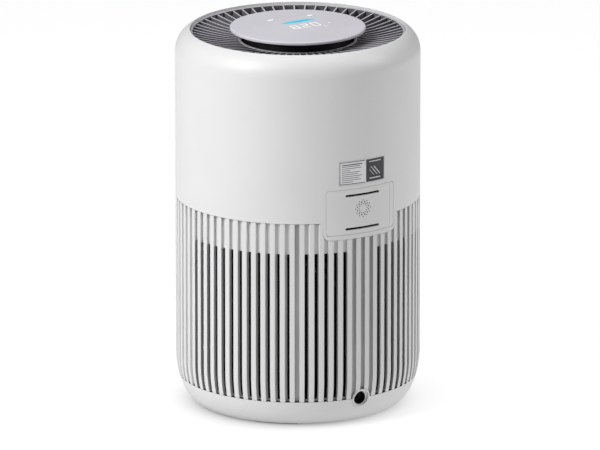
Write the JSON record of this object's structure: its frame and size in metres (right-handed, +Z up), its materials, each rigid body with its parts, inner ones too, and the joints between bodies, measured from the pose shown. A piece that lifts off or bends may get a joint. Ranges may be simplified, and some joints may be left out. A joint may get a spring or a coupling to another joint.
{
  "type": "air purifier",
  "caption": "Round tabletop air purifier with a ribbed intake, ring filter, fan, radial outlet grille and raised display disc.",
  "frame": {"origin": "centre of the base, on the surface that the feet stand on", "axes": "+Z up along the axis of the round case; +Y towards the rear, where the sensor door and the power inlet are"},
  "size_m": [0.24, 0.24, 0.3765],
  "materials": {
    "white_case": "fine satin moulded white ABS",
    "grey_duct": "satin moulded grey plastic",
    "lilac_disc": "smooth pale lilac grey translucent cover",
    "label_film": "printed polyester label without lettering",
    "light_guide": "milky light guide",
    "circuit_board": "glass fibre board with solder resist",
    "rubber": "soft matt rubber and foam",
    "filter_paper": "pleated filter paper",
    "filter_mesh": "knitted black prefilter mesh",
    "steel": "zinc plated and ground steel",
    "aluminium": "die cast motor base",
    "copper_winding": "laminations with enamelled copper winding",
    "black_plastic": "black moulded plastic"
  },
  "bodies": {
    "housing": {"base": "white_case", "bearing_lower": "steel", "bearing_upper": "steel", "board_holder": "black_plastic", "board_support": "black_plastic", "control_board": "circuit_board", "deck_screw_1": "steel", "deck_screw_2": "steel", "deck_screw_3": "steel", "deck_screw_4": "steel", "display_board": "circuit_board", "display_disc": "lilac_disc", "display_neck": "black_plastic", "dust_sensor": "steel", "fan_deck": "grey_duct", "fan_duct": "grey_duct", "filter_bottom_cap": "black_plastic", "filter_media": "filter_paper", "filter_pull_tab": "filter_mesh", "filter_seal": "rubber", "filter_sleeve": "filter_mesh", "filter_top_cap": "black_plastic", "foot_1": "rubber", "foot_2": "rubber", "foot_3": "rubber", "foot_4": "rubber", "info_label": "label_film", "inlet_bezel": "white_case", "inlet_guard": "black_plastic", "inlet_jack": "black_plastic", "inlet_nut": "black_plastic", "inlet_pin": "steel", "inner_cone": "grey_duct", "intake_grille": "white_case", "light_guide": "light_guide", "motor_base": "aluminium", "motor_isolator_1": "rubber", "motor_isolator_2": "rubber", "motor_isolator_3": "rubber", "motor_screw_1": "steel", "motor_screw_2": "steel", "motor_screw_3": "steel", "motor_stator": "copper_winding", "outlet_grille": "grey_duct", "power_lead": "black_plastic", "sensor_tray": "black_plastic", "upper_shell": "white_case"},
    "fan_rotor": {"impeller": "black_plastic", "impeller_nut": "steel", "motor_shaft": "steel", "motor_rotor": "steel"},
    "filter_cover": {"filter_cover": "white_case"},
    "sensor_door": {"sensor_door": "white_case"}
  },
  "joints": [
    {"name": "impeller_spin", "type": "hinge", "parent": "housing", "child": "fan_rotor", "pos_m": [0, 0, 0.24], "axis": [0, 0, 1], "continuous": true},
    {"name": "filter_cover_twist", "type": "hinge", "parent": "housing", "child": "filter_cover", "pos_m": [0, 0, 0.005], "axis": [0, 0, 1], "range_deg": [0, 24]},
    {"name": "sensor_door_pull", "type": "slide", "parent": "housing", "child": "sensor_door", "axis": [0, 1, 0], "range_m": [0, 0.03]}
  ]
}
